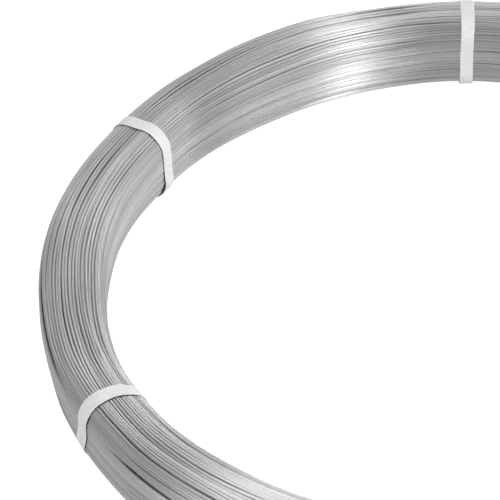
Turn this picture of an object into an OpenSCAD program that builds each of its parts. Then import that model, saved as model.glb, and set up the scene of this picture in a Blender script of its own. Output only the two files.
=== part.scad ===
// Coil of oval steel fence wire, tied by six flat straps.
// The coil lies on its side: Z is the axis of the eye, and z = 0 is the floor under the straps.
// Lengths are in mm and angles in degrees.

/* [Coil] */
// Clear diameter of the eye, across the innermost turns
eye_d = 610; // [400:5:900]
// Radial width of the bundle of turns
bundle_w = 56; // [52:1:70]
// Height of the bundle of turns
bundle_h = 80; // [60:1:110]
// Radius of the bundle's upper shoulders
shoulder_r = 22; // [16:0.5:24]
// Radius of the bundle's lower edges, where it has settled
base_r = 23; // [16:0.5:23]
// Width of the flat that the bundle rests on
base_flat = 6; // [4:0.5:6]

/* [Wire] */
// Long axis of the oval wire, which stands upright in the coil
wire_h = 3.0; // [2.6:0.1:3.4]
// Short axis of the oval wire
wire_w = 2.4; // [2:0.1:2.5]
// Largest step from one outer turn to the next, round the bundle
turn_step = 3.1; // [3:0.1:4]

/* [Straps] */
// Width of a strap
strap_w = 13; // [8:0.5:19]
// Thickness of a strap
strap_t = 0.8; // [0.5:0.1:1.2]
// Slack between a strap and the turns
strap_slack = 0.15; // [0.1:0.05:0.4]
// Length that the welded ends of a strap lap, round the lower edge in the eye
lap_l = 22; // [12:1:26]
// Angle from strap 1 to 2 and from 2 to 3; the others share the rest of the circle evenly
near_step = 61.7; // [54:0.1:66]

/* [Hidden] */
strap_count = 6;
near_count = 3;
first_strap = 90;
lathe_fn = 180;
arc_fn = 72;
wire_fn = 8;

floor_gap = strap_t + strap_slack;
mid_r = (eye_d + bundle_w) / 2;
far_step = (360 - (near_count - 1) * near_step) / (strap_count - near_count + 1);

// The bundle's section: x from its middle line, y up from its underside.
// Right of the middle it runs along the flat, round the lower edge, up the side,
// round the shoulder and back along the top. The left half mirrors it.
base_c = [base_flat / 2, base_r];
shoulder_c = [bundle_w / 2 - shoulder_r, bundle_h - shoulder_r];
rise = shoulder_c - base_c;
side_l = sqrt(rise * rise - pow(base_r - shoulder_r, 2));
side_a = atan2(rise.y, rise.x) - acos((base_r - shoulder_r) / norm(rise));
to_edge = base_c.x;
to_side = to_edge + arc_length(base_r, 90 + side_a);
to_shoulder = to_side + side_l;
to_top = to_shoulder + arc_length(shoulder_r, 90 - side_a);
half_l = to_top + shoulder_c.x;

turn_count = ceil(2 * half_l / turn_step);
core_inset = wire_w / 2;
lap_r = base_r + strap_slack + strap_t;
lap_lift = acos(lap_r / (lap_r + strap_t)) + 1;

function dir(a) = [cos(a), sin(a)];
function arc_length(r, a) = r * a * PI / 180;
function arc_angle(r, l) = l / r * 180 / PI;

// Point of the outline at a length s from the middle of the flat, with the angle of its normal
function right_place(s) =
    s < to_edge ? [s, 0, -90] :
    s < to_side ? round_place(base_c, base_r, -90 + arc_angle(base_r, s - to_edge)) :
    s < to_shoulder ? side_place(s - to_side) :
    s < to_top ? round_place(shoulder_c, shoulder_r, side_a + arc_angle(shoulder_r, s - to_shoulder)) :
    [half_l - s, bundle_h, 90];
function round_place(c, r, a) = [c.x + r * cos(a), c.y + r * sin(a), a];
function side_place(l) =
    let (p = base_c + base_r * dir(side_a) + l * dir(side_a + 90)) [p.x, p.y, side_a];
function place(s) =
    s <= half_l ? right_place(s) :
    let (p = right_place(2 * half_l - s)) [-p.x, p.y, 180 - p[2]];

// Angle of strap i round the coil, counted from 0
function strap_angle(i) =
    first_strap + min(i, near_count - 1) * near_step + max(i - near_count + 1, 0) * far_step;

// Half the size of the wire's section across a surface whose normal is at angle a
function wire_reach(a) = wire_w / 2 + (wire_h - wire_w) / 2 * abs(sin(a));

// The section's outline as a solid area, grown by e all round
module outline_area(e) {
    for (side = [-1, 1]) {
        translate([side * base_c.x, base_c.y]) circle(base_r + e, $fn = arc_fn);
        translate([side * shoulder_c.x, shoulder_c.y]) circle(shoulder_r + e, $fn = arc_fn);
    }
    right = [
        [base_c.x, -e],
        base_c + (base_r + e) * dir(side_a),
        shoulder_c + (shoulder_r + e) * dir(side_a),
        [shoulder_c.x, bundle_h + e],
    ];
    left = [for (i = [len(right) - 1:-1:0]) [-right[i].x, right[i].y]];
    polygon(concat(right, left));
}

// Oval section of one wire, standing on end
module wire_section() {
    square([wire_w, wire_h - wire_w], center = true);
    for (end = [-1, 1])
        translate([0, end * (wire_h - wire_w) / 2]) circle(wire_w / 2, $fn = wire_fn);
}

// Section of the bundle: its inner turns as one core, ringed by the turns that show
module bundle_section() {
    outline_area(-core_inset);
    for (i = [0:turn_count - 1]) {
        p = place((i + 0.5) * 2 * half_l / turn_count);
        translate([p.x, p.y] - wire_reach(p[2]) * dir(p[2])) wire_section();
    }
}

module wire_coil() {
    color("darkgray")
        translate([0, 0, floor_gap])
            rotate_extrude($fn = lathe_fn)
                translate([mid_r, 0]) bundle_section();
}

// Section of a strap: a band round the bundle, doubled where its ends are welded together
module strap_section() {
    difference() {
        outline_area(strap_slack + strap_t);
        outline_area(strap_slack);
    }
}

// The outer end of the band, lying on the band's outside round the lower edge in the eye
module strap_lap() {
    lap_a = arc_angle(lap_r, lap_l);
    translate([-base_c.x, base_c.y])
        rotate(-90 - lap_lift - lap_a)
            intersection() {
                difference() {
                    circle(lap_r + strap_t, $fn = arc_fn);
                    circle(lap_r - strap_t / 2, $fn = arc_fn);
                }
                polygon([[0, 0], 2 * lap_r * dir(0), 2 * lap_r * dir(lap_a)]);
            }
}

module strap(i) {
    color("whitesmoke")
        rotate(strap_angle(i))
            translate([mid_r, 0, floor_gap])
                rotate([90, 0, 0])
                    linear_extrude(strap_w, center = true) {
                        strap_section();
                        strap_lap();
                    }
}

module strap_1() { strap(0); }
module strap_2() { strap(1); }
module strap_3() { strap(2); }
module strap_4() { strap(3); }
module strap_5() { strap(4); }
module strap_6() { strap(5); }

wire_coil();
strap_1();
strap_2();
strap_3();
strap_4();
strap_5();
strap_6();
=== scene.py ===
"""Coil of oval galvanised fence wire, tied by flat white straps and lying on a pale floor.

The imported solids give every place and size. Geometry Nodes wind the turns: each layer is a set of rings
laid side by side round the bundle's outline, which drift, part, rise and dive under one another as real
turns do.
"""
import math

import bpy
from mathutils import Matrix, Vector


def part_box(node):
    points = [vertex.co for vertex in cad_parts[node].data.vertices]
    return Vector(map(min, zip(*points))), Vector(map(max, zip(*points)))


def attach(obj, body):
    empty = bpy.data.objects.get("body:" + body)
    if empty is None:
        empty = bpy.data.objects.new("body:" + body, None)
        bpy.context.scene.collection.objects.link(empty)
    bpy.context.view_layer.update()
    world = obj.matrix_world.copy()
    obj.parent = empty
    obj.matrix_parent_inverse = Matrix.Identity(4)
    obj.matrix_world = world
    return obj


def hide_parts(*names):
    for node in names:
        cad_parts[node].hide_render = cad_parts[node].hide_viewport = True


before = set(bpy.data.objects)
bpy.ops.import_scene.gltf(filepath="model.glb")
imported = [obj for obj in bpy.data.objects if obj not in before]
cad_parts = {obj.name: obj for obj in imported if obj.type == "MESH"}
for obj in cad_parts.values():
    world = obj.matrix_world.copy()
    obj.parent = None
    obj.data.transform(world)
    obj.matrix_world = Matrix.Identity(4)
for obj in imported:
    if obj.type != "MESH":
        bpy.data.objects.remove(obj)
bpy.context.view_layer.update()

bl_info = {
    "name": "Oval Wire Coil",
    "version": (1, 0, 0),
    "blender": (4, 5, 0),
    "location": "View3D > Sidebar > Wire Coil",
    "description": "Dresses the packed solids of a strapped coil of oval fence wire",
    "category": "Add Mesh",
}

MM = 0.001
VECTOR_MATH = "ShaderNodeVectorMath"
NOISE = "ShaderNodeTexNoise"
MAP_RANGE = "ShaderNodeMapRange"
SPLIT = "ShaderNodeSeparateXYZ"
JOIN = "ShaderNodeCombineXYZ"
# The middle of a noise, and the ends between which nearly all of it lies
NOISE_MIDDLE = 0.5
NOISE_SPAN = {"From Min": 0.3, "From Max": 0.7}


# ---------------------------------------------------------------- sizes read from the solids

STRAPS = sorted(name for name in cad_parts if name.startswith("strap_"))
COIL_LOW, COIL_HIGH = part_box("wire_coil")
FIRST_LOW, FIRST_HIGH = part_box(STRAPS[0])
# Strap 1 stands on the +Y side, so its box gives the bundle's middle radius and the tape's width
RING_R = (FIRST_LOW[1] + FIRST_HIGH[1]) / 2
BUNDLE_H = COIL_HIGH[2] - COIL_LOW[2]
FLOOR_GAP = COIL_LOW[2]
BUNDLE_W = FIRST_HIGH[1] - FIRST_LOW[1] - 2 * FLOOR_GAP
STRAP_W = FIRST_HIGH[0] - FIRST_LOW[0]


def strap_angle(name):
    """Angle of a strap round the coil, from the middle of its box."""
    low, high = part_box(name)
    return math.atan2(low[1] + high[1], low[0] + high[0])


# ---------------------------------------------------------------- helpers

def linear(hex_colour):
    """Turns an sRGB hex value into a linear colour with alpha."""
    parts = [int(hex_colour[i:i + 2], 16) / 255 for i in (1, 3, 5)]
    return tuple(c / 12.92 if c <= 0.04045 else ((c + 0.055) / 1.055) ** 2.4 for c in parts) + (1.0,)


def node(tree, kind, sockets=(), **settings):
    """Adds a node: settings are its properties and sockets its inputs. A kind in capitals is a Math node's
    operation."""
    if kind.isupper():
        kind, settings = "ShaderNodeMath", {"operation": kind}
    made = tree.nodes.new(kind)
    for key, value in settings.items():
        setattr(made, key, value)
    return feed(tree, made, sockets)


def feed(tree, made, sockets):
    """Fills a node's inputs, in order or by name. Each gets a value, an output or another node, which
    stands for its first output."""
    for key, value in (sockets if isinstance(sockets, dict) else dict(enumerate(sockets))).items():
        if isinstance(value, bpy.types.Node):
            value = value.outputs[0]
        if isinstance(value, bpy.types.NodeSocket):
            tree.links.new(value, made.inputs[key])
        else:
            made.inputs[key].default_value = value
    return made


def new_tree(name, inputs):
    """An empty Geometry Nodes tree with the named inputs, and its input and output nodes."""
    tree = bpy.data.node_groups.new(name, "GeometryNodeTree")
    for label, kind in inputs:
        tree.interface.new_socket(label, in_out="INPUT", socket_type="NodeSocket" + kind)
    tree.interface.new_socket("Geometry", in_out="OUTPUT", socket_type="NodeSocketGeometry")
    return tree, tree.nodes.new("NodeGroupInput").outputs, tree.nodes.new("NodeGroupOutput")


def new_object(name, data):
    """An object of this data, in the scene."""
    made = bpy.data.objects.new(name, data)
    bpy.context.collection.objects.link(made)
    return made


def finished(tree, given, out, shape):
    """Ends a tree: its shape made smooth and real, with its finish on."""
    smooth = node(tree, "GeometryNodeSetShadeSmooth", (shape,))
    real = node(tree, "GeometryNodeRealizeInstances", (smooth,))
    painted = node(tree, "GeometryNodeSetMaterial", {"Geometry": real, "Material": given["Material"]})
    feed(tree, out, (painted,))
    return tree


def grow(name, tree, values):
    """Runs a tree with these inputs and returns its result as a plain mesh object at the origin."""
    host = new_object(name + "_host", bpy.data.meshes.new(name + "_host"))
    modifier = host.modifiers.new(name, "NODES")
    modifier.node_group = tree
    sockets = tree.interface.items_tree
    identifiers = {item.name: item.identifier for item in sockets if item.in_out == "INPUT"}
    for label, value in values.items():
        modifier[identifiers[label]] = value
    bpy.context.view_layer.update()
    evaluated = host.evaluated_get(bpy.context.evaluated_depsgraph_get())
    mesh = bpy.data.meshes.new_from_object(evaluated)
    mesh.name = name
    bpy.data.objects.remove(host)
    return new_object(name, mesh)


def guide_curve(name, points):
    """A closed curve through points in a plane, for a tree to follow."""
    curve = bpy.data.curves.new(name, "CURVE")
    spline = curve.splines.new("POLY")
    spline.points.add(len(points) - 1)
    for place, point in zip(spline.points, points):
        place.co = (point.x, point.y, 0, 1)
    spline.use_cyclic_u = True
    return new_object(name, curve)


def new_material(name):
    """A material with its node tree and the shader in it."""
    material = bpy.data.materials.new(name)
    material.use_nodes = True
    return material, material.node_tree, material.node_tree.nodes["Principled BSDF"]


# ---------------------------------------------------------------- sizes a user would change

def length_property(name, description, default):
    """A length that a user may change, in metres."""
    return bpy.props.FloatProperty(
        name=name, description=description, default=default, min=0, unit="LENGTH")


def colour_property(name, description, default):
    """A colour that a user may change, from its sRGB hex value."""
    return bpy.props.FloatVectorProperty(
        name=name, description=description, default=linear(default), subtype="COLOR", size=4, min=0, max=1)


class CoilSizes(bpy.types.PropertyGroup):
    """Sizes of the bundle and its turns."""
    shoulder_r: length_property("Shoulder radius", "Radius of the bundle's upper edges", 22 * MM)
    base_r: length_property("Base radius", "Radius of the bundle's lower edges", 23 * MM)
    base_flat: length_property("Base flat", "Width of the flat under the bundle", 6 * MM)
    wire_h: length_property("Long axis", "Long axis of the oval wire, upright in the coil", 3.0 * MM)
    wire_w: length_property("Short axis", "Short axis of the oval wire", 2.4 * MM)
    groove: length_property("Groove width", "Widest gap that opens between two turns", 1.5 * MM)
    sink: length_property("Sink", "How far one turn lies under another of its layer", 1.2 * MM)
    rise: length_property("Rise and fall", "How far a turn rises and falls on its way round", 0.8 * MM)
    dive: length_property("Dive", "How far a turn goes down under its neighbours", 2.4 * MM)
    ripple: length_property("Ripple", "Short waves left in the wire by winding", 0.5 * MM)
    sway: length_property("Sway", "Waves that several neighbouring turns share", 1.2 * MM)
    twist: bpy.props.FloatProperty(
        name="Twist", description="How far the oval wire rolls over on its way round",
        default=math.radians(40), min=0, subtype="ANGLE")
    pinch: length_property("Pinch", "How far the straps draw the bundle in", 1.7 * MM)
    swell: length_property("Swell", "How far the bundle swells between the straps", 1.6 * MM)
    proud: length_property(
        "Proud", "How far a turn may stand out of the outline, less than a strap does", 0.6 * MM)
    wander: length_property("Wander", "How far the whole bundle leaves its circle", 1.1 * MM)
    drift: length_property("Drift", "How far a whole layer winds round the bundle and back", 9 * MM)
    seed: bpy.props.IntProperty(
        name="Seed", description="Seed of each turn's own movements", default=8)
    bundle_seed: bpy.props.IntProperty(
        name="Bundle seed", description="Seed of the whole bundle's wandering", default=951)


class StrapSizes(bpy.types.PropertyGroup):
    """Sizes of the straps."""
    thickness: length_property("Thickness", "Thickness of the tape", 0.5 * MM)
    slack: length_property("Slack", "Gap between the tape and the bundle's outline", 0.05 * MM)
    lap: length_property("Lap", "Length of the welded lap", 22 * MM)
    stray: bpy.props.FloatProperty(
        name="Stray", description="How much of the straps' straying round the coil is kept",
        default=1.0, min=0, max=1, subtype="FACTOR")
    fray: length_property("Ragged edge", "How far the tape's edges wander", 0.35 * MM)
    emboss: bpy.props.FloatProperty(
        name="Emboss", description="Spacing of the rolled pattern on the tape",
        default=1.6 * MM, min=0.1 * MM, unit="LENGTH")


class CoilColours(bpy.types.PropertyGroup):
    """Colours of the finishes."""
    zinc: colour_property("Zinc", "Zinc coat of the wire", "#A1A1A1")
    strap: colour_property("Strap", "White polypropylene", "#CDCDCC")
    floor: colour_property("Floor", "Pale floor", "#F2F2F2")


# ---------------------------------------------------------------- the bundle's outline

class Outline:
    """The bundle's section: a flat, two round lower edges, leaning sides and a round top. x goes out from
    the bundle's middle and y up from its underside. Distances run from the middle of the flat and up the
    outer side."""

    def __init__(self, sizes):
        self.base_r, self.shoulder_r = sizes.base_r, sizes.shoulder_r
        self.base = Vector((sizes.base_flat / 2, self.base_r))
        self.shoulder = Vector((BUNDLE_W / 2 - self.shoulder_r, BUNDLE_H - self.shoulder_r))
        climb = self.shoulder - self.base
        shrink = self.base_r - self.shoulder_r
        self.lean = math.atan2(climb.y, climb.x) - math.acos(shrink / climb.length)
        self.edge_l = self.base_r * (math.pi / 2 + self.lean)
        self.side_l = math.sqrt(climb.length_squared - shrink ** 2)
        self.round_l = self.shoulder_r * (math.pi / 2 - self.lean)
        self.half_l = self.base.x + self.edge_l + self.side_l + self.round_l + self.shoulder.x
        self.length = 2 * self.half_l

    def point(self, s):
        """The point at a distance round the outline."""
        if s > self.half_l:
            mirrored = self.point(self.length - s)
            return Vector((-mirrored.x, mirrored.y))
        if s < self.base.x:
            return Vector((s, 0))
        s -= self.base.x
        if s < self.edge_l:
            return self.base + ray(s / self.base_r - math.pi / 2, self.base_r)
        s -= self.edge_l
        if s < self.side_l:
            return self.base + ray(self.lean, self.base_r) + ray(self.lean + math.pi / 2, s)
        s -= self.side_l
        if s < self.round_l:
            return self.shoulder + ray(self.lean + s / self.shoulder_r, self.shoulder_r)
        return Vector((self.shoulder.x - (s - self.round_l), BUNDLE_H))

    def guide(self, count=240):
        """The outline as a closed curve."""
        return guide_curve("bundle_outline", [self.point(self.length * i / count) for i in range(count)])


def ray(angle, length):
    """A vector of this length at an angle."""
    return Vector((length * math.cos(angle), length * math.sin(angle)))


# ---------------------------------------------------------------- turns

LAYER_INPUTS = (
    ("Outline", "Object"), ("Material", "Material"),
    *((label, "Int") for label in ("Turns", "Stations", "Sides", "Band", "First turn", "End turn")),
    *((label, "Float") for label in (
        "Ring radius", "Floor gap", "Long axis", "Short axis", "Depth", "Groove", "Sink", "Rise", "Ripple",
        "Sway", "Dive", "Drift", "Pinch", "Swell", "Proud", "Wander", "Twist", "Seed", "Bundle seed")),
)
# Room along the outline for each turn of the top layer and of the one under it, and how deep that one lies
TOP_PITCH, UNDER_PITCH, UNDER_DEPTH = 2.25 * MM, 2.9 * MM, 3.2 * MM
# Turns that share their room, so that a groove moves its neighbours and not the whole layer
BAND = 12

# How loosely turns lie in the eye and at the rim, and what a strap leaves of their movements
LOOSE_EYE, LOOSE_RIM, LOOSE_STRAPPED = 0.65, 1.15, 0.12
# A strap holds the turns this far round the coil to either side. The bundle swells from the second of these
# and is fully swollen from the third.
HELD, SWELLING, SWOLLEN = math.radians(12), math.radians(6), math.radians(26)
# Heights in the eye at which a strap's pull begins and is full, as shares of the bundle's
PULL_BEGINS, PULL_FULL = 0.12, 0.5
# The most that a turn's step down counts, as a share of its height: it then takes half its width
STEEPEST = 0.866
# The power that makes an ellipse a little squarer, as rolling makes the wire
SQUARED = 0.75

# How far apart neighbours read a noise: far where each goes its own way, near where they share slow waves.
# The last is for the two layers.
TURN_APART, ROLL_APART, SWAY_APART, LAYER_APART = 5.3, 9.1, 1 / 8, 40.0
# Scale of each noise on a ring of radius 1: the higher, the shorter its waves
GROOVE_WAVES, DRIFT_WAVES, SWAY_WAVES, ROLL_WAVES, WANDER_WAVES = 0.45, 0.6, 2.2, 0.9, 3.2
# The noise at which a groove begins to open and at which it is widest
GROOVE_OPENS, GROOVE_WIDEST = 0.54, 0.72
# A drift's noise stays within about a quarter of its middle, so this brings it to the full drift
DRIFT_GAIN = 4.0
# A turn's own movements down: the input with its size, how far its noise lies from the others, that noise's
# scale and its low and high ends, whether the turn moves at each end, and how it gets from one to the other
MOVES = (
    ("Rise", 77.1, 0.55, (0.35, 0.65), (False, True), "LINEAR"),
    ("Ripple", 313.3, 3.0, (0.25, 0.75), (False, True), "LINEAR"),
    ("Dive", 191.7, 0.45, (0.26, 0.44), (True, False), "SMOOTHSTEP"),
)


def facing_strap(tree, way_out):
    """Cosine of the angle round the coil to the nearest strap."""
    facing = -1.0
    for name in STRAPS:
        angle = strap_angle(name)
        towards = (math.cos(angle), math.sin(angle), 0)
        cosine = node(tree, VECTOR_MATH, (way_out, towards), operation="DOT_PRODUCT")
        facing = node(tree, "MAXIMUM", (facing, cosine.outputs["Value"]))
    return facing


def drawn_in(tree, at):
    """How much of a strap's pull a place on the outline feels, 0 to 1. It is none low in the eye, where the
    tape bridges the turns."""
    outer = node(tree, "MAXIMUM", (at[0], 0.0))
    return node(tree, MAP_RANGE, {"Value": node(tree, "ADD", (at[1], outer)),
                                  "From Min": PULL_BEGINS * BUNDLE_H, "From Max": PULL_FULL * BUNDLE_H},
                interpolation_type="SMOOTHSTEP")


def wandered(tree, way_out, given):
    """How far the whole bundle lies outside its ring at this way round, or inside where it is negative."""
    noise = node(tree, NOISE, {"Vector": way_out, "W": given["Bundle seed"], "Scale": WANDER_WAVES,
                               "Detail": 0.0}, noise_dimensions="4D")
    inside = node(tree, "MULTIPLY", (given["Wander"], -1.0))
    return node(tree, MAP_RANGE, {
        "Value": noise, **NOISE_SPAN, "To Min": inside, "To Max": given["Wander"]})


def depth_of(tree, turn, way_out, given):
    """How deep a turn lies in its layer: its own depth, its rise and fall, its ripple and its dives."""
    own_w = node(tree, "MULTIPLY_ADD", (turn, TURN_APART, given["Seed"]))
    lot = node(tree, "ShaderNodeTexWhiteNoise", {"W": own_w}, noise_dimensions="1D")
    depth = node(tree, "MULTIPLY", (lot, given["Sink"]))
    for label, away, scale, ends, moves, between in MOVES:
        noise_w = node(tree, "ADD", (own_w, away))
        noise = node(tree, NOISE, {"Vector": way_out, "W": noise_w, "Scale": scale, "Detail": 0.0},
                     noise_dimensions="4D")
        at_low, at_high = (given[label] if move else 0.0 for move in moves)
        moved = node(tree, MAP_RANGE, {"Value": noise, "From Min": ends[0], "From Max": ends[1],
                                       "To Min": at_low, "To Max": at_high}, interpolation_type=between)
        depth = node(tree, "ADD", (depth, moved))
    return depth


def rolled_section(tree, given, half_short, half_long):
    """The wire's section, a circle squeezed to its two half axes. Rolled wire is a little squarer than an
    ellipse, so the circle's x and y are raised to a power under 1."""
    circle = node(tree, "GeometryNodeCurvePrimitiveCircle", {"Resolution": given["Sides"], "Radius": 1.0})
    around = node(tree, "GeometryNodeStoreNamedAttribute", {
        "Geometry": circle, "Name": "around", "Value": node(tree, "GeometryNodeInputPosition")},
        data_type="FLOAT_VECTOR", domain="POINT")
    on_circle = node(tree, SPLIT, (node(tree, "GeometryNodeInputPosition"),)).outputs
    rolled = []
    for axis, half in ((0, half_short), (1, half_long)):
        size = node(tree, "POWER", (node(tree, "ABSOLUTE", (on_circle[axis],)), SQUARED))
        signed = node(tree, "MULTIPLY", (size, node(tree, "SIGN", (on_circle[axis],))))
        rolled.append(node(tree, "MULTIPLY", (signed, half)))
    return node(tree, "GeometryNodeSetPosition", {"Geometry": around, "Position": node(tree, JOIN, rolled)})


def layer_tree():
    """Turns laid side by side round the outline. Each takes the room that it needs beside its neighbour:
    less where one lies lower than the other, more where a groove opens. So its dives move the others."""
    tree, given, out = new_tree("wound_layer", LAYER_INPUTS)

    # One ring of radius 1 for each turn, as many points each as there are stations
    line = node(tree, "GeometryNodeMeshLine", {"Count": given["Turns"], "Offset": (0, 0, 0)})
    ring = node(tree, "GeometryNodeCurvePrimitiveCircle", {"Resolution": given["Stations"], "Radius": 1.0})
    rings = node(tree, "GeometryNodeInstanceOnPoints", {"Points": line, "Instance": ring})
    turns = node(tree, "GeometryNodeRealizeInstances", (rings,))

    index = node(tree, "GeometryNodeInputIndex")
    way_out = node(tree, "GeometryNodeInputPosition")
    turn = node(tree, "FLOOR", (node(tree, "DIVIDE", (index, given["Stations"])),))
    station = node(tree, "MODULO", (index, given["Stations"]))

    # Where each turn lies if all take the same room, which is near enough to say how loose it is
    outline = node(tree, "GeometryNodeObjectInfo", {"Object": given["Outline"]}).outputs["Geometry"]
    share = node(tree, "DIVIDE", (turn, given["Turns"]))
    rough = node(tree, "GeometryNodeSampleCurve", {"Curves": outline, "Factor": share},
                 mode="FACTOR", use_all_curves=True)
    rough_at = node(tree, SPLIT, (rough.outputs["Position"],)).outputs

    # Turns lie tightest in the eye, where they were wound on the drum, and most level under the straps
    free_play = node(tree, MAP_RANGE, {
        "Value": rough_at[0], "From Min": -BUNDLE_W / 2, "From Max": BUNDLE_W / 4, "To Min": LOOSE_EYE,
        "To Max": LOOSE_RIM})
    facing = facing_strap(tree, way_out)
    close = node(tree, MAP_RANGE, {"Value": facing, "From Min": math.cos(HELD), "From Max": 1.0},
                 interpolation_type="SMOOTHSTEP")
    strapped = node(tree, "MULTIPLY", (close, drawn_in(tree, rough_at)))
    held = node(tree, MAP_RANGE, {"Value": strapped, "To Min": 1.0, "To Max": LOOSE_STRAPPED})
    loose = node(tree, "MULTIPLY", (free_play, held))
    own_depth = node(tree, "MULTIPLY", (depth_of(tree, turn, way_out, given), loose))
    following = node(tree, "MODULO", (node(tree, "ADD", (turn, 1.0)), given["Turns"]))
    next_depth = node(tree, "MULTIPLY", (depth_of(tree, following, way_out, given), loose))

    # Two ovals that touch: (side step / width) squared + (step down / height) squared = 1, where width and
    # height are the wire's axes as the outline leans
    rough_along = node(tree, SPLIT, (rough.outputs["Tangent"],)).outputs
    upright = node(tree, "ABSOLUTE", (rough_along[1],))
    extra = node(tree, "SUBTRACT", (given["Long axis"], given["Short axis"]))
    leaning = node(tree, "MULTIPLY", (upright, extra))
    width = node(tree, "ADD", (given["Short axis"], leaning))
    height = node(tree, "SUBTRACT", (given["Long axis"], leaning))
    step_down = node(tree, "ABSOLUTE", (node(tree, "SUBTRACT", (next_depth, own_depth)),))
    steep = node(tree, "MINIMUM", (node(tree, "DIVIDE", (step_down, height)), STEEPEST))
    left_over = node(tree, "SUBTRACT", (1.0, node(tree, "MULTIPLY", (steep, steep))))
    side_step = node(tree, "MULTIPLY", (width, node(tree, "SQRT", (left_over,))))

    # Grooves that open and close between a turn and the next
    gap_w = node(tree, "MULTIPLY_ADD", (turn, TURN_APART, given["Seed"]))
    gap_noise = node(tree, NOISE, {"Vector": way_out, "W": gap_w, "Scale": GROOVE_WAVES, "Detail": 0.0},
                     noise_dimensions="4D")
    gap = node(tree, MAP_RANGE, {"Value": gap_noise, "From Min": GROOVE_OPENS, "From Max": GROOVE_WIDEST,
                                 "To Min": 0.0, "To Max": given["Groove"]}, interpolation_type="SMOOTHSTEP")
    taken = node(tree, "MULTIPLY_ADD", (gap, free_play, side_step))

    # Turns share the room of their own band
    band = node(tree, "FLOOR", (node(tree, "DIVIDE", (turn, given["Band"])),))
    band_station = node(tree, "MULTIPLY_ADD", (band, given["Stations"], station))
    tally = node(tree, "GeometryNodeAccumulateField", {"Value": taken, "Group ID": band_station},
                 data_type="FLOAT", domain="POINT").outputs
    in_band = node(tree, "DIVIDE", (tally["Trailing"], tally["Total"]))
    bands = node(tree, "DIVIDE", (given["Turns"], given["Band"]))
    place = node(tree, "DIVIDE", (node(tree, "ADD", (band, in_band)), bands))

    # The whole layer winds slowly round the bundle and back
    drift_noise = node(tree, NOISE, {"Vector": way_out, "W": given["Seed"], "Scale": DRIFT_WAVES,
                                     "Detail": 0.0}, noise_dimensions="4D")
    length = node(tree, "GeometryNodeCurveLength", (outline,))
    swing = node(tree, "MULTIPLY", (node(tree, "DIVIDE", (given["Drift"], length)), DRIFT_GAIN))
    off_middle = node(tree, "SUBTRACT", (drift_noise, NOISE_MIDDLE))
    drift = node(tree, "MULTIPLY", (off_middle, swing))
    wound_on = node(tree, "ADD", (node(tree, "ADD", (place, drift)), 1.0))

    # Neighbours share slow waves, so the sheen ends at other places on them than on the next few
    sway_w = node(tree, "MULTIPLY_ADD", (turn, SWAY_APART, given["Seed"]))
    sway_noise = node(tree, NOISE, {"Vector": way_out, "W": sway_w, "Scale": SWAY_WAVES, "Detail": 1.0},
                      noise_dimensions="4D")
    sways = node(tree, SPLIT, (sway_noise.outputs["Color"],)).outputs
    sway_down = node(tree, MAP_RANGE, {"Value": sways[1], **NOISE_SPAN, "To Min": 0.0,
                                       "To Max": given["Sway"]})
    sway_share = node(tree, "DIVIDE", (given["Sway"], length))
    sway_aside = node(tree, MAP_RANGE, {"Value": sways[2], **NOISE_SPAN, "To Min": -1.0, "To Max": 1.0})
    sway_along = node(tree, "MULTIPLY_ADD", (sway_aside, sway_share, wound_on))
    factor = node(tree, "FRACT", (sway_along,))
    spot = node(tree, "GeometryNodeSampleCurve", {"Curves": outline, "Factor": factor},
                mode="FACTOR", use_all_curves=True)
    along = node(tree, SPLIT, (spot.outputs["Tangent"],)).outputs
    spot_at = node(tree, SPLIT, (spot.outputs["Position"],)).outputs

    # Depth under the outline: the wire's own reach, its layer's depth and its own, less where the bundle
    # swells between straps and more where one draws it in
    half_short = node(tree, "MULTIPLY", (given["Short axis"], 0.5))
    half_long = node(tree, "MULTIPLY", (given["Long axis"], 0.5))
    half_extra = node(tree, "SUBTRACT", (half_long, half_short))
    level = node(tree, "ABSOLUTE", (along[0],))
    reach = node(tree, "MULTIPLY_ADD", (level, half_extra, half_short))
    swayed = node(tree, "MULTIPLY_ADD", (sway_down, loose, own_depth))
    free = node(tree, MAP_RANGE, {"Value": facing, "From Min": math.cos(SWOLLEN),
                                  "From Max": math.cos(SWELLING), "To Min": 1.0, "To Max": 0.0},
                interpolation_type="SMOOTHSTEP")
    swelled = node(tree, "SUBTRACT", (swayed, node(tree, "MULTIPLY", (free, given["Swell"]))))
    shown = node(tree, "MAXIMUM", (swelled, given["Proud"]))
    pinched = node(tree, "MULTIPLY_ADD", (strapped, given["Pinch"], shown))
    depth = node(tree, "ADD", (node(tree, "ADD", (reach, given["Depth"])), pinched))

    # The outline runs up its outer side, so its inward normal is (-y, x) of its direction
    inward = node(tree, "MULTIPLY", (along[1], depth))
    upward = node(tree, "MULTIPLY", (along[0], depth))
    out_by = node(tree, "SUBTRACT", (spot_at[0], inward))
    up_by = node(tree, "ADD", (spot_at[1], upward))
    middle = node(tree, "ADD", (given["Ring radius"], wandered(tree, way_out, given)))
    radius = node(tree, "ADD", (middle, out_by))
    lift = node(tree, JOIN, {2: node(tree, "ADD", (given["Floor gap"], up_by))})
    flat_place = node(tree, VECTOR_MATH, {0: way_out, "Scale": radius}, operation="SCALE")
    wound_at = node(tree, VECTOR_MATH, (flat_place, lift), operation="ADD")

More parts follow.
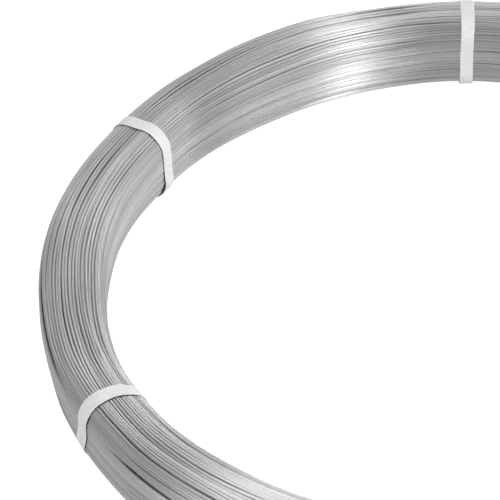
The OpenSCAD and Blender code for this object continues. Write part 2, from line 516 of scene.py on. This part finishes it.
    # What the finish follows: the way round the ring, the turn's number and the way round the wire
    marked = turns
    for name, value, kind in (("ring", way_out, "FLOAT_VECTOR"), ("turn", turn, "FLOAT")):
        marked = node(tree, "GeometryNodeStoreNamedAttribute", {
            "Geometry": marked, "Name": name, "Value": value}, data_type=kind, domain="POINT")
    placed = node(tree, "GeometryNodeSetPosition", {"Geometry": marked, "Position": wound_at})
    early = node(tree, "FunctionNodeCompare", (turn, given["First turn"]), data_type="FLOAT",
                 operation="LESS_THAN")
    late = node(tree, "FunctionNodeCompare", (turn, given["End turn"]), data_type="FLOAT",
                operation="GREATER_EQUAL")
    unwanted = node(tree, "FunctionNodeBooleanMath", (early, late), operation="OR")
    kept = node(tree, "GeometryNodeDeleteGeometry", {"Geometry": placed, "Selection": unwanted},
                domain="POINT")

    # The wire rolls over on its way round. The rings have moved, so their first places are read back.
    upright_rings = node(tree, "GeometryNodeSetCurveNormal", {"Curve": kept}, mode="Z_UP")
    marked_ring = node(tree, "GeometryNodeInputNamedAttribute", {"Name": "ring"}, data_type="FLOAT_VECTOR")
    marked_turn = node(tree, "GeometryNodeInputNamedAttribute", {"Name": "turn"}, data_type="FLOAT")
    roll_w = node(tree, "MULTIPLY_ADD", (marked_turn, ROLL_APART, given["Seed"]))
    roll_noise = node(tree, NOISE, {"Vector": marked_ring, "W": roll_w, "Scale": ROLL_WAVES, "Detail": 0.0},
                      noise_dimensions="4D")
    backwards = node(tree, "MULTIPLY", (given["Twist"], -1.0))
    rolled_by = node(tree, MAP_RANGE, {"Value": roll_noise, **NOISE_SPAN, "To Min": backwards,
                                       "To Max": given["Twist"]})
    twisted = node(tree, "GeometryNodeSetCurveTilt", {"Curve": upright_rings, "Tilt": rolled_by})

    oval = rolled_section(tree, given, half_short, half_long)
    swept = node(tree, "GeometryNodeCurveToMesh", {"Curve": twisted, "Profile Curve": oval})
    return finished(tree, given, out, swept)


# ---------------------------------------------------------------- straps

# Places on a strap, and how far each lies round the outline, as a share of it
STRAP_PLACES = (
    ("Outer foot", 0.1), ("Outer shoulder", 0.34), ("Crown", 0.5), ("Inner shoulder", 0.58),
    ("Inner foot", 0.76),
)
# How far each strap strays round the coil at those places, in millimetres: hand-tied tape is never quite
# straight
STRAYS = (
    (2.0, 1.8, 0.3, -0.4, 0.8), (-1.5, -2.0, -0.7, -1.9, -5.5), (-20.0, -2.0, -2.4, 1.7, 2.0),
    (2.0, 0.5, -0.5, 0.8, 2.5), (-3.0, -1.0, 0.3, 1.0, 3.5), (1.5, 0.0, -0.6, -1.5, -3.0),
)
STRAP_INPUTS = (
    ("Outline", "Object"), ("Section", "Object"), ("Material", "Material"), ("Stations", "Int"),
    *((label, "Float") for label in (
        "Ring radius", "Floor gap", "Offset", "Lap step", "Lap start", "Lap", "Ramp", "Pinch", "Wander",
        "Fray", "Angle", "Seed", "Bundle seed", *(place for place, share in STRAP_PLACES))),
)
# Length over which a lap climbs on to the tape's start, and how far it ends from the flat underneath
RAMP, LAP_FOOT = 5 * MM, 11 * MM
# Waves of the tape's ragged edges to a metre, and how much their noise is raised, as it seldom leaves its
# middle by more than a quarter
FRAY_WAVES, FRAY_GAIN = 140.0, 2.0
# How far apart the two edges read that noise, and how far apart the straps do
EDGE_APART, STRAP_APART = 3.7, 11.0


def strap_tree():
    """Tape led once round the outline and on over its own start, where it is welded."""
    tree, given, out = new_tree("strap", STRAP_INPUTS)
    outline = node(tree, "GeometryNodeObjectInfo", {"Object": given["Outline"]}).outputs["Geometry"]
    length = node(tree, "GeometryNodeCurveLength", (outline,))
    lap_share = node(tree, "DIVIDE", (given["Lap"], length))

    # A straight line of stations, each led to its place round the outline
    straight = node(tree, "GeometryNodeCurvePrimitiveLine", {"Start": (0, 0, 0), "End": (1, 0, 0)})
    stations = node(tree, "GeometryNodeResampleCurve", {"Curve": straight, "Count": given["Stations"]})
    whole = node(tree, "ADD", (lap_share, 1.0))
    way = node(tree, "MULTIPLY", (node(tree, "GeometryNodeSplineParameter"), whole))
    factor = node(tree, "FRACT", (node(tree, "ADD", (way, given["Lap start"])),))
    spot = node(tree, "GeometryNodeSampleCurve", {"Curves": outline, "Factor": factor},
                mode="FACTOR", use_all_curves=True)
    along = node(tree, SPLIT, (spot.outputs["Tangent"],)).outputs
    outward = node(tree, JOIN, (along[1], node(tree, "MULTIPLY", (along[0], -1.0))))
    ramp_share = node(tree, "DIVIDE", (given["Ramp"], length))
    ramp_start = node(tree, "SUBTRACT", (1.0, ramp_share))
    climb = node(tree, MAP_RANGE, {"Value": way, "From Min": ramp_start, "From Max": 1.0, "To Min": 0.0,
                                   "To Max": given["Lap step"]}, interpolation_type="SMOOTHSTEP")
    spot_at = node(tree, SPLIT, (spot.outputs["Position"],)).outputs
    pulled = node(tree, "MULTIPLY", (drawn_in(tree, spot_at), given["Pinch"]))
    stand = node(tree, "SUBTRACT", (node(tree, "ADD", (climb, given["Offset"])), pulled))
    off = node(tree, VECTOR_MATH, {0: outward, "Scale": stand}, operation="SCALE")
    led = node(tree, VECTOR_MATH, (spot.outputs["Position"], off), operation="ADD")

    # Straying, in smooth bends from each place to the next and back under the bundle
    foot, foot_share = STRAP_PLACES[0]
    past_foot = node(tree, "FRACT", (node(tree, "SUBTRACT", (factor, foot_share)),))
    stray = given[foot]
    for (before, start), (after, end) in zip(STRAP_PLACES, (*STRAP_PLACES[1:], (foot, foot_share + 1))):
        change = node(tree, "SUBTRACT", (given[after], given[before]))
        bend = node(tree, MAP_RANGE, {"Value": past_foot, "From Min": start - foot_share,
                                      "From Max": end - foot_share, "To Min": 0.0, "To Max": change},
                    interpolation_type="SMOOTHSTEP")
        stray = node(tree, "ADD", (stray, bend))
    led = node(tree, VECTOR_MATH, (led, node(tree, JOIN, {2: stray})), operation="ADD")

    # What the finish and the ragged edges follow: the way along the tape and the way across it
    distance = node(tree, "MULTIPLY", (way, length))
    marked = node(tree, "GeometryNodeStoreNamedAttribute", {
        "Geometry": stations, "Name": "along", "Value": distance}, data_type="FLOAT", domain="POINT")
    path = node(tree, "GeometryNodeSetPosition", {"Geometry": marked, "Position": led})
    path = node(tree, "GeometryNodeSetCurveNormal", {"Curve": path}, mode="Z_UP")

    section = node(tree, "GeometryNodeObjectInfo", {"Object": given["Section"]}).outputs["Geometry"]
    across = node(tree, "GeometryNodeStoreNamedAttribute", {
        "Geometry": section, "Name": "across", "Value": node(tree, "GeometryNodeInputPosition")},
        data_type="FLOAT_VECTOR", domain="POINT")
    swept = node(tree, "GeometryNodeCurveToMesh", {
        "Curve": path, "Profile Curve": across, "Fill Caps": True})

    # The edges wander a little, each in its own way
    run = node(tree, "GeometryNodeInputNamedAttribute", {"Name": "along"}, data_type="FLOAT")
    side = node(tree, "GeometryNodeInputNamedAttribute", {"Name": "across"}, data_type="FLOAT_VECTOR")
    side_y = node(tree, SPLIT, (side,)).outputs[1]
    edge = node(tree, "SIGN", (side_y,))
    fray_w = node(tree, "MULTIPLY_ADD", (edge, EDGE_APART, given["Seed"]))
    fray_noise = node(tree, NOISE, {"Vector": node(tree, JOIN, (run,)), "W": fray_w, "Scale": FRAY_WAVES,
                                    "Detail": 2.0}, noise_dimensions="4D")
    off_middle = node(tree, "SUBTRACT", (fray_noise, NOISE_MIDDLE))
    shift = node(tree, "MULTIPLY", (off_middle, given["Fray"]))
    aside = node(tree, JOIN, {2: node(tree, "MULTIPLY", (shift, FRAY_GAIN))})
    frayed = node(tree, "GeometryNodeSetPosition", {"Geometry": swept, "Offset": aside})

    # Made flat, x out, y up and z along the turns, and then bent round the ring
    way_out = node(tree, JOIN, (node(tree, "COSINE", (given["Angle"],)),
                                node(tree, "SINE", (given["Angle"],))))
    middle = node(tree, "ADD", (given["Ring radius"], wandered(tree, way_out, given)))
    flat = node(tree, SPLIT, (node(tree, "GeometryNodeInputPosition"),)).outputs
    angle = node(tree, "ADD", (node(tree, "DIVIDE", (flat[2], given["Ring radius"])), given["Angle"]))
    upright = node(tree, JOIN, {0: node(tree, "ADD", (middle, flat[0])),
                                2: node(tree, "ADD", (given["Floor gap"], flat[1]))})
    bent = node(tree, "ShaderNodeVectorRotate", {"Vector": upright, "Angle": angle}, rotation_type="Z_AXIS")
    turned = node(tree, "GeometryNodeSetPosition", {"Geometry": frayed, "Position": bent})
    return finished(tree, given, out, turned)


def tape_section(thickness, spacing=1.1 * MM):
    """The tape's section as a closed curve, x through its thickness and y across it, with round edges. Its
    points lie close enough across it to follow the ring."""
    half_t = thickness / 2
    flat = STRAP_W / 2 - half_t
    count = math.ceil(2 * flat / spacing)
    climb = [Vector((-half_t, -flat + 2 * flat * i / count)) for i in range(count + 1)]
    bend = [Vector((0, flat)) + ray(math.pi / 4 * i, half_t) for i in (3, 2, 1)]
    return guide_curve("tape_section", climb + bend + [-p for p in climb] + [-p for p in bend])


# ---------------------------------------------------------------- finishes

# How far apart neighbouring turns read the noise of their oxide clouds, their shared tone and their lines
CLOUD_APART, TONE_APART, LINES_APART = 7.9, 1 / 5, 3.3
# Scale of that noise on a ring of radius 1: clouds 60 mm long, tones 270 mm and lines 40 mm. The last is
# the lines' scale round a wire of radius 1, where they lie 0.3 mm apart.
CLOUD_WAVES, TONE_WAVES, LINES_ALONG, LINES_ACROSS = 5.0, 1.2, 8.0, 4.5
# How strongly the clouds and the shared tone lighten and darken the zinc, and the darkest and lightest turn
CLOUD_STRENGTH, TONE_STRENGTH, DARKEST, LIGHTEST = 0.45, 0.6, 0.86, 1.1
# Roughness of the zinc between its oxide clouds and in them
ZINC_CLEAR, ZINC_CLOUDED = 0.34, 0.44
# The tape's mottles to a metre, how strongly they lighten and darken it, and the depth of its diamonds as a
# share of theirs
MOTTLE_WAVES, MOTTLE_STRENGTH, DIAMOND_DEPTH = 600.0, 0.5, 0.4
# Where the floor is seen straight or in the wire: its glow, and the share of its own shade that it loses
FLOOR_GLOW, FLOOR_DIMMED = 0.85, 0.6


def galvanised_wire(colour):
    """Hot-dip galvanised drawn steel: satin zinc with fine lines along the wire, clouded by oxide, with
    turns that differ a little in tone."""
    material, tree, shader = new_material("galvanised_drawn_wire")
    ring = node(tree, "ShaderNodeAttribute", attribute_name="ring").outputs["Vector"]
    around = node(tree, "ShaderNodeAttribute", attribute_name="around").outputs["Vector"]
    turn = node(tree, "ShaderNodeAttribute", attribute_name="turn").outputs["Fac"]

    # Oxide clouds, which lie on one turn each, over a tone of the turn's own
    cloud_w = node(tree, "MULTIPLY", (turn, CLOUD_APART))
    cloud = node(tree, NOISE, {"Vector": ring, "W": cloud_w, "Scale": CLOUD_WAVES, "Detail": 3.0},
                 noise_dimensions="4D")
    tone = node(tree, "ShaderNodeTexWhiteNoise", {"W": turn}, noise_dimensions="1D")
    turn_shade = node(tree, MAP_RANGE, {"Value": tone, "To Min": DARKEST, "To Max": LIGHTEST})
    off_middle = node(tree, "SUBTRACT", (cloud, NOISE_MIDDLE))
    cloudy = node(tree, "MULTIPLY", (off_middle, CLOUD_STRENGTH))

    # Neighbours were drawn and coated one after another, so they share a slow change of tone
    share_w = node(tree, "MULTIPLY", (turn, TONE_APART))
    shared = node(tree, NOISE, {"Vector": ring, "W": share_w, "Scale": TONE_WAVES, "Detail": 1.0},
                  noise_dimensions="4D")
    off_middle = node(tree, "SUBTRACT", (shared, NOISE_MIDDLE))
    slow = node(tree, "MULTIPLY", (off_middle, TONE_STRENGTH))
    shade = node(tree, "ADD", (node(tree, "ADD", (turn_shade, cloudy)), slow))
    tint = node(tree, VECTOR_MATH, {0: tuple(colour)[:3], "Scale": shade}, operation="SCALE")
    rough = node(tree, MAP_RANGE, {"Value": cloud, **NOISE_SPAN, "To Min": ZINC_CLEAR,
                                   "To Max": ZINC_CLOUDED})
    feed(tree, shader, {"Base Color": tint, "Metallic": 1.0, "Roughness": rough})

    # Drawing spreads the sheen across the wire and keeps it narrow along it
    way = node(tree, SPLIT, (ring,)).outputs
    tangent = node(tree, JOIN, (node(tree, "MULTIPLY", (way[1], -1.0)), way[0]))
    feed(tree, shader, {"Anisotropic": 1.0, "Anisotropic Rotation": 0.25, "Tangent": tangent})

    # Drawing lines. Real ones are as fine as hairs, and these are as coarse as they need to show.
    round_wire = node(tree, VECTOR_MATH, {0: around, "Scale": LINES_ACROSS}, operation="SCALE")
    round_ring = node(tree, VECTOR_MATH, {0: ring, "Scale": LINES_ALONG}, operation="SCALE")
    across, along = (node(tree, SPLIT, (vector,)).outputs for vector in (round_wire, round_ring))
    on_turn = node(tree, "MULTIPLY_ADD", (turn, LINES_APART, across[1]))
    lines = node(tree, NOISE, {"Vector": node(tree, JOIN, (across[0], on_turn, along[0])), "W": along[1],
                               "Scale": 1.0, "Detail": 2.0}, noise_dimensions="4D")
    bump = node(tree, "ShaderNodeBump", {"Height": lines, "Strength": 0.25, "Distance": 0.1 * MM})
    feed(tree, shader, {"Normal": bump})
    return material


def polypropylene_tape(colour, spacing):
    """Extruded white polypropylene strapping: matt, rolled with a fine diamond pattern and faintly mottled,
    each mottle about 2 mm across."""
    material, tree, shader = new_material("embossed_polypropylene_tape")
    run = node(tree, "ShaderNodeAttribute", attribute_name="along").outputs["Fac"]
    across = node(tree, "ShaderNodeAttribute", attribute_name="across").outputs["Vector"]
    side = node(tree, SPLIT, (across,)).outputs
    place = node(tree, JOIN, (run, side[1], side[0]))
    slants = []
    for slant in (1.0, -1.0):
        sum_of = node(tree, "MULTIPLY_ADD", (side[1], slant, run))
        wave = node(tree, "MULTIPLY", (sum_of, 2 * math.pi / spacing))
        slants.append(node(tree, "SINE", (wave,)))
    diamonds = node(tree, "MULTIPLY", slants)
    mottle = node(tree, NOISE, {"Vector": place, "Scale": MOTTLE_WAVES, "Detail": 3.0})
    relief = node(tree, "MULTIPLY_ADD", (diamonds, DIAMOND_DEPTH, mottle))
    off_middle = node(tree, "SUBTRACT", (mottle, NOISE_MIDDLE))
    spread = node(tree, "MULTIPLY", (off_middle, MOTTLE_STRENGTH))
    shade = node(tree, "ADD", (spread, 1.0))
    tint = node(tree, VECTOR_MATH, {0: tuple(colour)[:3], "Scale": shade}, operation="SCALE")
    bump = node(tree, "ShaderNodeBump", {"Height": relief, "Strength": 0.6, "Distance": 0.4 * MM})
    feed(tree, shader, {"Base Color": tint, "Roughness": 0.6, "IOR": 1.49, "Normal": bump})
    return material


def pale_floor(colour):
    """Matt white studio board, which shows nearly as the white behind it and keeps a soft shadow."""
    material, tree, shader = new_material("matt_white_board")
    feed(tree, shader, {"Base Color": colour, "Roughness": 0.9})
    path = node(tree, "ShaderNodeLightPath").outputs
    seen = node(tree, "MAXIMUM", (path["Is Camera Ray"], path["Is Glossy Ray"]))
    glow = node(tree, "ShaderNodeEmission", {"Color": (1, 1, 1, 1), "Strength": FLOOR_GLOW})
    dimmed = node(tree, "ShaderNodeMixShader", (FLOOR_DIMMED, shader))
    lit = node(tree, "ShaderNodeAddShader", (dimmed, glow))
    shown = node(tree, "ShaderNodeMixShader", (seen, shader, lit))
    feed(tree, tree.nodes["Material Output"], {"Surface": shown})
    return material


# ---------------------------------------------------------------- operators

class COIL_OT_turns(bpy.types.Operator):
    """Winds the turns that show and the layer under them"""
    bl_idname = "coil.turns"
    bl_label = "Wind turns"

    def execute(self, context):
        sizes = context.scene.coil_sizes
        zinc = galvanised_wire(context.scene.coil_colours.zinc)
        outline = Outline(sizes)
        guide = outline.guide()
        tree = layer_tree()
        top_turns, under_turns = (BAND * round(outline.length / pitch / BAND)
                                  for pitch in (TOP_PITCH, UNDER_PITCH))
        common = {
            "Outline": guide, "Ring radius": RING_R, "Floor gap": FLOOR_GAP, "Long axis": sizes.wire_h,
            "Short axis": sizes.wire_w, "Groove": sizes.groove, "Sink": sizes.sink, "Rise": sizes.rise,
            "Ripple": sizes.ripple, "Sway": sizes.sway, "Dive": sizes.dive, "Drift": sizes.drift,
            "Pinch": sizes.pinch, "Swell": sizes.swell, "Proud": -sizes.proud, "Wander": sizes.wander,
            "Twist": sizes.twist, "Bundle seed": float(sizes.bundle_seed), "Band": BAND, "Material": zinc,
        }
        top = {"Turns": top_turns, "Stations": 180, "Sides": 12, "Depth": 0.0, "Seed": float(sizes.seed)}
        under = {"Turns": under_turns, "Stations": 144, "Sides": 8, "Depth": UNDER_DEPTH,
                 "Seed": sizes.seed + LAYER_APART}
        third = top_turns // 3
        layers = (
            ("rim_turns", {**top, "First turn": 0, "End turn": third}),
            ("crown_turns", {**top, "First turn": third, "End turn": 2 * third}),
            ("eye_turns", {**top, "First turn": 2 * third, "End turn": top_turns}),
            ("under_turns", {**under, "First turn": 0, "End turn": under_turns}),
        )
        for name, own in layers:
            piece = grow(name, tree, {**common, **own})
            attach(piece, "root")
            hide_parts("wire_coil")
        bpy.data.objects.remove(guide)
        return {"FINISHED"}


class COIL_OT_straps(bpy.types.Operator):
    """Ties each strap round the bundle, its ends lapped and welded"""
    bl_idname = "coil.straps"
    bl_label = "Tie straps"

    def execute(self, context):
        sizes, straps = context.scene.coil_sizes, context.scene.coil_straps
        tape = polypropylene_tape(context.scene.coil_colours.strap, straps.emboss)
        outline = Outline(sizes)
        guide = outline.guide()
        section = tape_section(straps.thickness)
        tree = strap_tree()
        # The lap goes round the lower edge in the eye and ends where it would meet the floor
        lap_end = outline.length - outline.base.x - LAP_FOOT
        for i, name in enumerate(STRAPS):
            strays = zip(STRAP_PLACES, STRAYS[i])
            piece = grow("tape_" + name[-1], tree, {
                **{place: stray * straps.stray * MM for (place, share), stray in strays},
                "Outline": guide, "Section": section, "Stations": 240, "Ring radius": RING_R,
                "Floor gap": FLOOR_GAP, "Offset": straps.slack + straps.thickness / 2,
                "Lap step": straps.thickness, "Lap start": (lap_end - straps.lap) / outline.length,
                "Lap": straps.lap, "Ramp": RAMP, "Pinch": sizes.pinch, "Wander": sizes.wander,
                "Fray": straps.fray, "Angle": strap_angle(name), "Seed": STRAP_APART * i,
                "Bundle seed": float(sizes.bundle_seed), "Material": tape})
            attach(piece, "root")
            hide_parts(name)
        for used in (guide, section):
            bpy.data.objects.remove(used)
        return {"FINISHED"}


# Strength of the white sky on the object. Seen straight or in the wire, its strength is 1.
SKY_LIGHT = 0.45
# Soft lamps, each turned to the coil's middle: name, place and size in metres, and power in watts
LAMPS = (
    ("key_lamp", (1.08, -1.20, 1.18), (0.5, 0.6), 14.4),
    ("low_lamp", (1.04, -1.66, 0.40), (0.4, 0.6), 5.6),
    ("crown_lamp", (-0.04, 1.66, 1.12), (0.4, 0.6), 4.6),
    ("fill_lamp", (1.76, -0.73, 0.60), (0.5, 0.6), 4.4),
    ("front_lamp", (1.29, -1.16, 1.00), (0.8, 0.8), 8.5),
    ("right_lamp", (1.66, 0.96, 0.55), (2.0, 0.8), 15.0),
    ("side_lamp", (1.81, 0.00, 0.85), (1.0, 0.8), 4.0),
    ("rear_lamp", (-0.50, 1.87, 0.52), (1.5, 0.8), 4.4),
    ("left_lamp", (-1.17, -0.73, 1.45), (0.8, 1.6), 16.5),
)


class COIL_OT_stage(bpy.types.Operator):
    """Lays the floor and sets the lamps, the sky and the camera"""
    bl_idname = "coil.stage"
    bl_label = "Set stage"

    def execute(self, context):
        scene = context.scene
        mesh = bpy.data.meshes.new("floor")
        reach = 12.0
        mesh.from_pydata([(-reach, -reach, 0), (reach, -reach, 0), (reach, reach, 0), (-reach, reach, 0)],
                         [], [(0, 1, 2, 3)])
        mesh.materials.append(pale_floor(scene.coil_colours.floor))
        floor = new_object("floor", mesh)

        world = bpy.data.worlds.new("studio")
        scene.world = world
        world.use_nodes = True
        tree = world.node_tree
        path = node(tree, "ShaderNodeLightPath").outputs
        direct = node(tree, "MAXIMUM", (path["Is Camera Ray"], path["Is Glossy Ray"]))
        seen = node(tree, "MAXIMUM", (direct, path["Is Transmission Ray"]))
        strength = node(tree, MAP_RANGE, {"Value": seen, "To Min": SKY_LIGHT, "To Max": 1.0})
        feed(tree, tree.nodes["Background"], {"Color": (1, 1, 1, 1), "Strength": strength})

        for name, spot, size, power in LAMPS:
            lamp_data = bpy.data.lights.new(name, "AREA")
            lamp_data.shape = "RECTANGLE"
            lamp_data.size, lamp_data.size_y = size
            lamp_data.energy = power
            lamp = new_object(name, lamp_data)
            lamp.location = spot
            lamp.rotation_euler = (-Vector(spot)).to_track_quat("-Z", "Y").to_euler()

        # The camera looks past the coil's left part from above the front
        middle = Vector((0, 0, FLOOR_GAP + BUNDLE_H / 2))
        elevation, azimuth = math.radians(41.5), math.radians(-0.8)
        distance = 1.914
        aim = Vector((-0.1866, 0.0318, middle.z))
        place = middle + distance * Vector((
            math.sin(azimuth) * math.cos(elevation), -math.cos(azimuth) * math.cos(elevation),
            math.sin(elevation)))
        camera_data = bpy.data.cameras.new("camera")
        camera_data.lens = 164.1
        camera = new_object("camera", camera_data)
        roll = Matrix.Rotation(math.radians(-4.19), 3, "Z")
        turned = (aim - place).to_track_quat("-Z", "Y").to_matrix() @ roll
        camera.matrix_world = Matrix.Translation(place) @ turned.to_4x4()
        scene.camera = camera
        scene.view_settings.view_transform = "Standard"
        return {"FINISHED"}


class COIL_PT_panel(bpy.types.Panel):
    """Sidebar panel of the coil's sizes, colours and operators"""
    bl_label = "Wire Coil"
    bl_idname = "COIL_PT_panel"
    bl_space_type = "VIEW_3D"
    bl_region_type = "UI"
    bl_category = "Wire Coil"

    def draw(self, context):
        for key in GROUPS:
            group = getattr(context.scene, key)
            for label in group.__annotations__:
                self.layout.prop(group, label)
        for operator in OPERATORS:
            self.layout.operator(operator.bl_idname)


OPERATORS = (COIL_OT_stage, COIL_OT_turns, COIL_OT_straps)
GROUPS = {"coil_sizes": CoilSizes, "coil_straps": StrapSizes, "coil_colours": CoilColours}


def register():
    for cls in (*GROUPS.values(), *OPERATORS, COIL_PT_panel):
        bpy.utils.register_class(cls)
    for key, cls in GROUPS.items():
        setattr(bpy.types.Scene, key, bpy.props.PointerProperty(type=cls))


def unregister():
    for key in GROUPS:
        delattr(bpy.types.Scene, key)
    for cls in reversed((*GROUPS.values(), *OPERATORS, COIL_PT_panel)):
        bpy.utils.unregister_class(cls)


def main():
    register()
    bpy.ops.coil.stage()
    bpy.ops.coil.turns()
    bpy.ops.coil.straps()


if __name__ == "__main__":
    main()
